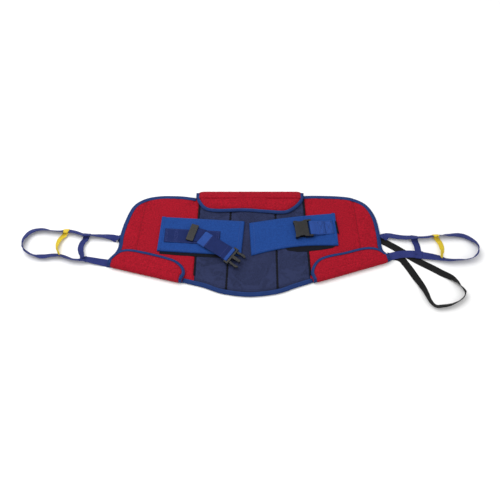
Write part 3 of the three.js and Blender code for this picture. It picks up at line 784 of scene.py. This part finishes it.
def add_body():
    shell, _ = pad("outer_shell_cloth", plan_outline("outer_shell"), 14, flat_at(SHELL_Z + 1.2),
                   flat_at(SHELL_Z), SHELL, "sling_body", rounding=2)
    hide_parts("outer_shell")

    bottom_line = offset(BOTTOM_EDGE, 17)[8:-8]
    seams = CENTER_SEAMS + [bottom_line]
    center, height = pad("center_panel", plan_outline("center_lining"), 5, quilt(seams, 3.2, 2.0),
                         flat_at(PANEL_UNDERSIDE), NAVY, "sling_body", seams=seams, cap=1.2)
    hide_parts("center_lining", "center_foam")
    for k, seam in enumerate(CENTER_SEAMS):
        # the centre seams' dark tape is painted shade along their quilted grooves
        seam_shade_tape(f"center_seam_tape_{k + 1}", height(even(np.array(seam, float), 90)), 8)
    stitches = Threads("center_quilting", NAVY_THREAD, "sling_body")
    stitches.line(height(bottom_line) + [0, 0, 0.2], radius=0.5)
    stitches.build()

    pleat = [(-171, 166), (-179, 144)]
    for side, seam, folds, join in (("left", LEFT_SEAM, [pleat], LEFT_PANEL_SEAM),
                                    ("right", RIGHT_SEAM, [], RIGHT_PANEL_SEAM)):
        top = quilt([seam] + folds, 2.6, len(side))
        panel, height = pad(f"{side}_panel", plan_outline(f"{side}_lining"), 5, top,
                            flat_at(PANEL_UNDERSIDE), RED, "sling_body", seams=[seam] + folds, cap=1.2)
        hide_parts(f"{side}_lining", f"{side}_foam")
        stitches = Threads(f"{side}_quilting", RED_THREAD_AND_CREASE_SHADE, "sling_body")
        # stitches also run along the pleat, which is a crease: a dark line of painted shade there
        for line in [seam] + folds:
            stitches.line(height(even(np.array(line, float), 80)) + [0, 0, 0.25], radius=0.5)
        stitches.build()
        line = even(np.array(join, float), 90)[2:-6]
        # the join tape is partly real dark piping, partly painted shade where the navy panel meets the red
        seam_shade_tape(f"{side}_join_shade_tape", np.column_stack([line, np.full(len(line), 11.3)]), 5)

    for name, edge in (("right", RIGHT_SIDE), ("left", LEFT_SIDE), ("bottom", BOTTOM_EDGE)):
        binding = tape(f"{name}_edge_tape", edge, BODY_TAPE, "sling_body", seed=len(name))
        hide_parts(f"{name}_edge_binding")
        stitches = Threads(f"{name}_edge_stitches", BLUE_THREAD, "sling_body")
        line = offset(edge, 10.6)
        stitches.line(np.column_stack([line, np.full(len(line), 10.15)]))
        stitches.build()

    upper = [(-403, 26, 0, 0), (-200, 6.3, 0, 0), (0, 0, 0, 0), (200, 6.3, 0, 0), (403, 26, 0, 0)]
    lower = [(-432, -62, 0, 0), (-200, -92, 0, 0), (0, -102, 0, 0), (200, -92, 0, 0), (404, -48, 0, 0)]
    for name, points in (("upper", upper), ("lower", lower)):
        centres, across = laid(points, LOOP_WIDTH, 120)
        web = sweep(f"rear_web_{name}", centres, across, ribbon(LOOP_WIDTH), INDIGO, "sling_body")
        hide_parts(f"rear_webbing_{name}")


# ---- fold-over flaps

FLAP_TAPE = soften([
    (1, 14.6), (3, 13.3), (7, 13.0), (9, 13.4), (9, 19.0), (10, 19.5), (10.3, 20.5), (9, 21.2),
    (6.6, 21), (4, 20.2), (1.8, 18.7), (0.5, 16.9),
])
FLAP_TAPE_WIDTH = 9
TOP_ROLL_REACH = 1.7             # how far each fold's roll bulges, against its section
LOWER_ROLL_REACH = 0.75
ROLL_END = 0.62                  # share of the section kept at a roll's ends, and gained towards its middle
ROLL_GAIN = 0.34
ROLL = soften([(-9, 1.3), (0, 1.2), (4.6, 2.6), (7.8, 6.6), (8.8, 12), (8.2, 15.6), (5.6, 19.2), (0.2, 22.4),
               (-7.4, 24.6), (-16, 25.35), (-16, 24.5), (-8, 23.6), (0.4, 20), (0.4, 4), (-9, 2.0)])


def roll_strip(name, start, end, part, look, reach):
    """The fabric that turns over the fold: part is its stretch of the fold line, reach how far it bulges."""
    start, end = np.array(start, float), np.array(end, float)
    length = np.linalg.norm(end - start)
    low = part[0] if part[0] >= 0 else length + part[0]
    high = part[1] if part[1] > 0 else length + part[1]
    along = (end - start) / length
    outward = np.array([-along[1], along[0]])
    at = np.linspace(low, high, max(3, int((high - low) / 4)))
    centres = [(*(start + along * s), 0) for s in at]
    sections = []
    for s in at:
        full = dome(min(s, length - s) - 9, 15)
        swell = ROLL_END + ROLL_GAIN * full
        ripple = 1 + 0.03 * noise.noise(Vector((s / 11, len(name), 0)))
        rows = []
        for o, z in ROLL:
            rise = z - FOLD_Z
            rise *= swell if rise > 0 else 0.9 + 0.1 * full
            rows.append(((o * swell * reach if o > 0 else o) * ripple, FOLD_Z + rise * ripple))
        sections.append(np.array(rows))
    strip = sweep(name, centres, np.tile([*outward, 0.0], (len(at), 1)), sections, look)
    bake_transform(strip)
    return strip


def flap_outline(inner, start, end):
    """The part of a flap inside its edge tape: the inner line, with its ends moved onto the fold."""
    along = (end - start) / np.linalg.norm(end - start)
    line = np.array(inner)
    for k, corner in ((0, start), (-1, start)):
        line[k] = corner + ((line[k] - corner) @ along) * along
    return line


def add_flap(flap, edge, seed):
    """A flap folded over onto the body: padded red cover, bound free edge and rolled fold."""
    start, end = edge[0], edge[-1]
    inner = offset(edge, FLAP_TAPE_WIDTH)
    outline = flap_outline(inner, start, end)

    def top(plan, gap):
        free = distance_to(plan, inner)
        fold_gap = distance_to(plan, [start, end])
        z = 19.0 + (FLAP_TOP - 19.0) * dome(free - 1.6, 15)
        z = z - 5 * (1 - ease((fold_gap - 2) / 18))
        z = z - 0.3 * (1 + waves(plan, 50, seed)) - 0.16 * (1 + waves(plan, 13, seed + 4))
        return z + 0.4 * np.minimum(waves(plan, 6, seed + 9), 0) * np.exp(-(free / 9) ** 2)

    def bottom(plan, gap):
        return 12.8 + 1.4 * (1 - dome(gap, 5))

    cover, _ = pad(f"{flap}_pad", outline, 4.5, top, bottom, RED, flap, seams=[[start, end]], cap=1.0)
    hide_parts(f"{flap}_cover", f"{flap}_foam")
    binding = tape(f"{flap}_tape", edge, FLAP_TAPE, flap, seed=seed)
    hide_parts(f"{flap}_binding")
    stitches = Threads(f"{flap}_stitches", BLUE_THREAD, flap)
    line = offset(edge, FLAP_TAPE_WIDTH - 1.4)
    stitches.line(np.column_stack([line, np.full(len(line), 21.1)]), pitch=4.2, radius=0.32)
    stitches.build()
    width = FLAP_TAPE_WIDTH + 0.3
    reach = TOP_ROLL_REACH if flap == "top_flap" else LOWER_ROLL_REACH
    roll_strip(f"{flap}_roll", start, end, (width, -width), RED, reach)
    roll_strip(f"{flap}_roll_tape_1", start, end, (0, width - 0.1), TAPE, reach)
    roll_strip(f"{flap}_roll_tape_2", start, end, (0.1 - width, 0), TAPE, reach)


def add_flaps():
    top_edge, _ = spline(TOP_FLAP_EDGE, 180, 0)
    right_edge, _ = spline(RIGHT_FLAP_EDGE, 160, 0)
    left_edge, _ = spline(LEFT_FLAP_EDGE, 160, 0)
    add_flap("top_flap", top_edge, 11.0)
    add_flap("right_flap", right_edge, 21.0)
    add_flap("left_flap", (left_edge * [-1, 1])[::-1], 31.0)


# ---- waist belt

ROOT_MIDDLE_Z = 16.5
ROOT_ROLL = soften([(-6, 12.5), (-3, 12.5), (-0.6, 13.6), (0.4, 16.4), (-0.4, 19.2), (-3, 20.5), (-8, 20.8),
                    (-11, 20.75), (-11, 20.2), (-5, 19.6), (-5, 13.2)])


def add_belt_pad(side, belt, at, seed):
    """One padded half of the belt, in its own frame: sewn down at x = 0, its free end at its length."""
    length, half, lean = belt["length"], belt["width"] / 2, math.tan(math.radians(belt["slant"]))
    share = np.linspace(0, 1, 30)
    bow = np.sin(math.pi * share)
    near_edge = np.column_stack([3 + (length - 3) * share, -half - belt["near_bow"] * bow])
    far_edge = np.column_stack([3 + (length - 3) * share, half - belt["far_bow"] * bow])[::-1]

    def leaned(points):
        points = np.asarray(points, float)
        return np.column_stack([points[:, 0] + lean * points[:, 1], points[:, 1]])

    outline = leaned(np.vstack([near_edge, far_edge]))
    hem = leaned([(length - 13, -half + 2), (length - 13, half - 2)])
    edges = [leaned(near_edge[1:-1] + [0, 6]), leaned(far_edge[1:-1] - [0, 6])]

    def top(plan, gap):
        z = 15.5 + (BELT_TOP - 15.5) * dome(gap, 5)
        for seam in [hem] + edges:
            z = z - 0.8 * np.exp(-(distance_to(plan, seam) / 1.8) ** 2)
        return z - 0.14 * (1 + waves(plan, 40, seed)) - 0.06 * (1 + waves(plan, 11, seed + 2))

    def bottom(plan, gap):
        return FRONT_Z + 0.2 + 2.4 * (1 - dome(gap, 5))

    middle_line = [(6, belt["web_y"]), (length * 0.72, belt["web_y"])]
    cover, height = pad(f"{side}_belt_pad", outline, 5, top, bottom, BLUE, f"{side}_belt", at, rounding=5,
                        seams=[hem, *edges, middle_line], cap=0.5)
    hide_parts(f"{side}_belt_cover", f"{side}_belt_foam")
    stitches = Threads(f"{side}_belt_stitches", BLUE_THREAD, f"{side}_belt", at)
    for seam in [hem] + edges:
        stitches.line(height(even(seam, 60)) + [0, 0, 0.2])
    stitches.build()
    rows = np.linspace(-half + 0.5, half - 0.5, 24)
    sections = []
    for y in rows:
        full = 0.8 + 0.2 * dome(half - abs(y), 6)
        rise = ROOT_MIDDLE_Z + (ROOT_ROLL[:, 1] - ROOT_MIDDLE_Z) * full
        sections.append(np.column_stack([ROOT_ROLL[:, 0], rise]))
    across = np.tile([-1.0, 0, 0], (24, 1))
    root = sweep(f"{side}_belt_root", [(lean * y, y, 0) for y in rows], across, sections, BLUE, None, at)
    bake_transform(root)
    # a dark strip under the belt's lower edge: partly the belt's real black underside, partly painted shadow
    # under the raised belt
    backing_and_shade = np.array(belt["backing_and_shade"], float)
    pad(f"{side}_belt_backing", backing_and_shade, 5, lambda plan, gap: 12.7 + 1.7 * dome(gap, 2),
        flat_at(12.45), BACKING_AND_PAINTED_SHADE, f"{side}_belt", at, rounding=2)


def add_belt_anchor(at):
    """The webbing end that shows where the right half is sewn down."""
    path = [(1, 20.9), (-1.6, 20.2), (-3.4, 18.2), (-3.8, 15.6), (-3.9, 12.9)]
    lane = at @ Matrix.Translation((0, -6, 0))
    piece = standing_web("right_belt_anchor", path, BACKING_AND_PAINTED_SHADE, None, lane, 16, 42)
    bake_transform(piece)


def flat_web(name, x0, x1, z, look, body, at):
    """Belt webbing laid level in its own lane."""
    count = max(8, int((x1 - x0) / 4))
    centres = [(x, 0, z) for x in np.linspace(x0, x1, count)]
    across = np.tile([0, 1.0, 0], (count, 1))
    return sweep(name, centres, across, ribbon(BELT_WEB_WIDTH, parts=12), look, body, at)


def standing_web(name, profile, look, body, at, count, width=BELT_WEB_WIDTH):
    """Belt webbing that follows a side profile, given as distances along its lane and heights."""
    line, _ = spline(profile, count)
    centres = [(x, 0, z) for x, z in line]
    return sweep(name, centres, np.tile([0, 1.0, 0], (count, 1)), ribbon(width, parts=12), look, body, at)


# the last entry of each belt outlines its dark strip underneath: partly its black underside, partly painted
# shadow
LEFT_PAD = {"length": 256, "width": 122, "slant": 1.5, "near_bow": 0, "far_bow": 0, "web_y": -7,
            "backing_and_shade": [(6, -69), (60, -71), (200, -71), (232, -67), (232, -50), (6, -50)]}
RIGHT_PAD = {"length": 268, "width": 115, "slant": 4.5, "near_bow": 4, "far_bow": 13, "web_y": -7,
             "backing_and_shade": [(3, 30), (176, 30), (160, 53), (130, 62), (60, 65), (22, 62), (8, 54)]}


def add_left_belt():
    add_belt_pad("left", LEFT_PAD, LEFT_BELT, 41.0)
    base_z = BELT_TOP + 0.3 + WEB / 2
    base = flat_web("left_base_web", 17, 186, base_z, BELT_WEB, "left_belt", LEFT_LANE)
    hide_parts("left_base_webbing")
    stitches = Threads("left_base_stitches", STRAP_THREAD, "left_belt", LEFT_LANE)
    top = base_z + WEB / 2 + 0.1
    for x in (21, 25, 48, 52, 56, 176, 182):
        stitches.line([(x, -21, top), (x, 21, top)])
    for y in (-21.5, 21.5):
        stitches.line([(21, y, top), (182, y, top)])
    stitches.build()
    layer = flat_web("strap_lower_web", -12, 38, STRAP_Z, BELT_WEB, "left_belt", ADJUSTER_LANE)
    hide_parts("strap_lower_layer")
    low = STRAP_Z + WEB + 0.7
    high = low + 4.4
    end, wrap, bar = 104, 2.6 + WEB / 2, BELT_TOP + 6
    lean = 0.7 * wrap
    path = [(26, low), (6, low), (0, low + 0.5), (-2.2, low + 2.2), (0, high - 0.3), (8, high), (56, high),
            (78, high), (end - 8, bar + wrap + 0.5), (end, bar + wrap), (end + lean, bar + lean),
            (end + wrap, bar), (end + lean, bar - lean), (end, bar - wrap), (end - 8, bar - wrap + 0.8),
            (end - 16, bar - wrap + 1)]
    tail = standing_web("strap_tail_web", path, BELT_WEB, "tail", TAIL, 130)
    # both folded ends of the tail get the lighter webbing as a painted highlight
    paint_fold_highlight(tail, TAIL, lambda x: x < 24 or x > end - 6)
    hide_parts("strap_tail")
    stitches = Threads("strap_tail_stitches", STRAP_THREAD, "tail", TAIL)
    for x in (22, 26, 84):
        stitches.line([(x, -21, high + WEB / 2 + 0.1), (x, 21, high + WEB / 2 + 0.1)])
    stitches.build()


def paint_fold_highlight(piece, at, where):
    """Paint a highlight on a strap's rounded folds: the faces that lie at the chosen distances along it get
    the lighter webbing.
    """
    piece.data.materials.append(LIGHT_WEB_AND_FOLD_HIGHLIGHT)
    back = at.inverted()
    for face in piece.data.polygons:
        if where((back @ (face.center / MM)).x):
            face.material_index = 1


def add_right_belt():
    add_belt_pad("right", RIGHT_PAD, RIGHT_BELT, 51.0)
    add_belt_anchor(RIGHT_BELT)
    base_z = BELT_TOP + 0.3 + WEB / 2
    patch = flat_web("right_base_web", 10, 70, base_z, LIGHT_WEB_AND_FOLD_HIGHLIGHT, "right_belt", BUCKLE_LANE)
    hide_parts("right_base_webbing")
    lower = BELT_TOP + 0.6 + 1.5 * WEB
    upper = lower + WEB + 0.3
    bar_x, bar, wrap = 79, BELT_TOP + 0.6 + WEB + 6.5, 2.6 + WEB / 2
    lean = 0.7 * wrap
    path = [(38, lower), (60, lower), (68, lower + 0.6), (bar_x, bar - wrap), (bar_x + lean, bar - lean),
            (bar_x + wrap, bar), (bar_x + lean, bar + lean), (bar_x, bar + wrap), (70, bar + wrap - 2.2),
            (60, upper + 1.2), (52, upper), (38, upper)]
    loop = standing_web("buckle_loop_web", path, LIGHT_WEB_AND_FOLD_HIGHLIGHT, "right_belt", BUCKLE_LANE, 90)
    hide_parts("buckle_loop")
    stitches = Threads("right_base_stitches", NAVY_THREAD, "right_belt", BUCKLE_LANE)
    top = base_z + WEB / 2 + 0.1
    over = upper + WEB / 2 + 0.1
    for x0, x1, z in ((13, 35, top), (41, 56, over)):
        stitches.line([(x0, -21, z), (x0, 21, z), (x1, 21, z), (x1, -21, z), (x0, -21, z)])
        stitches.line([(x0, -21, z), (x1, 21, z)])
        stitches.line([(x0, 21, z), (x1, -21, z)])
    stitches.build()


# ---- moulded pieces

def finish_frame_pieces():
    for name in ("strap_adjuster", "male_buckle", "left_prong", "right_prong", "female_buckle"):
        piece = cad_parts[name]
        piece.data.materials.clear()
        piece.data.materials.append(PLASTIC)
        bevel = piece.modifiers.new("soft edges", "BEVEL")
        bevel.width = 0.5 * MM
        bevel.segments = 2
        bevel.limit_method = "ANGLE"
        bevel.angle_limit = math.radians(35)
    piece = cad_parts["strap_bight"]
    piece.data.materials.clear()
    piece.data.materials.append(INDIGO)


# ---- stage

def add_light(name, energy, size, location):
    data = bpy.data.lights.new(name, "AREA")
    data.energy = energy
    data.size = size
    light = bpy.data.objects.new(name, data)
    bpy.context.scene.collection.objects.link(light)
    light.location = location
    light.rotation_euler = Vector(location).to_track_quat("Z", "Y").to_euler()
    return light


def add_stage():
    scene = bpy.context.scene
    scene.view_settings.view_transform = "Standard"
    world = bpy.data.worlds.new("studio")
    world.use_nodes = True
    background = world.node_tree.nodes["Background"]
    background.inputs[0].default_value = (1, 1, 1, 1)
    background.inputs[1].default_value = 0.62
    scene.world = world
    mesh = bpy.data.meshes.new("floor")
    size = 8
    corners = [(-size, -size, 0), (size, -size, 0), (size, size, 0), (-size, size, 0)]
    mesh.from_pydata(corners, [], [(0, 1, 2, 3)])
    paper = bpy.data.materials.new("paper")
    paper.use_nodes = True
    surface = paper.node_tree.nodes["Principled BSDF"]
    surface.inputs["Base Color"].default_value = (0.93, 0.93, 0.93, 1)
    surface.inputs["Roughness"].default_value = 0.9
    mesh.materials.append(paper)
    floor = bpy.data.objects.new("floor", mesh)
    scene.collection.objects.link(floor)
    floor.location.z = -0.0004
    key = add_light("key", 62, 2.4, (-1.1, 0.5, 2.6))
    fill = add_light("fill", 22, 3.0, (1.6, -1.4, 2.2))


add_camera()
add_loops()
add_carry_strap()
add_body()
add_flaps()
add_left_belt()
add_right_belt()
finish_frame_pieces()
add_stage()
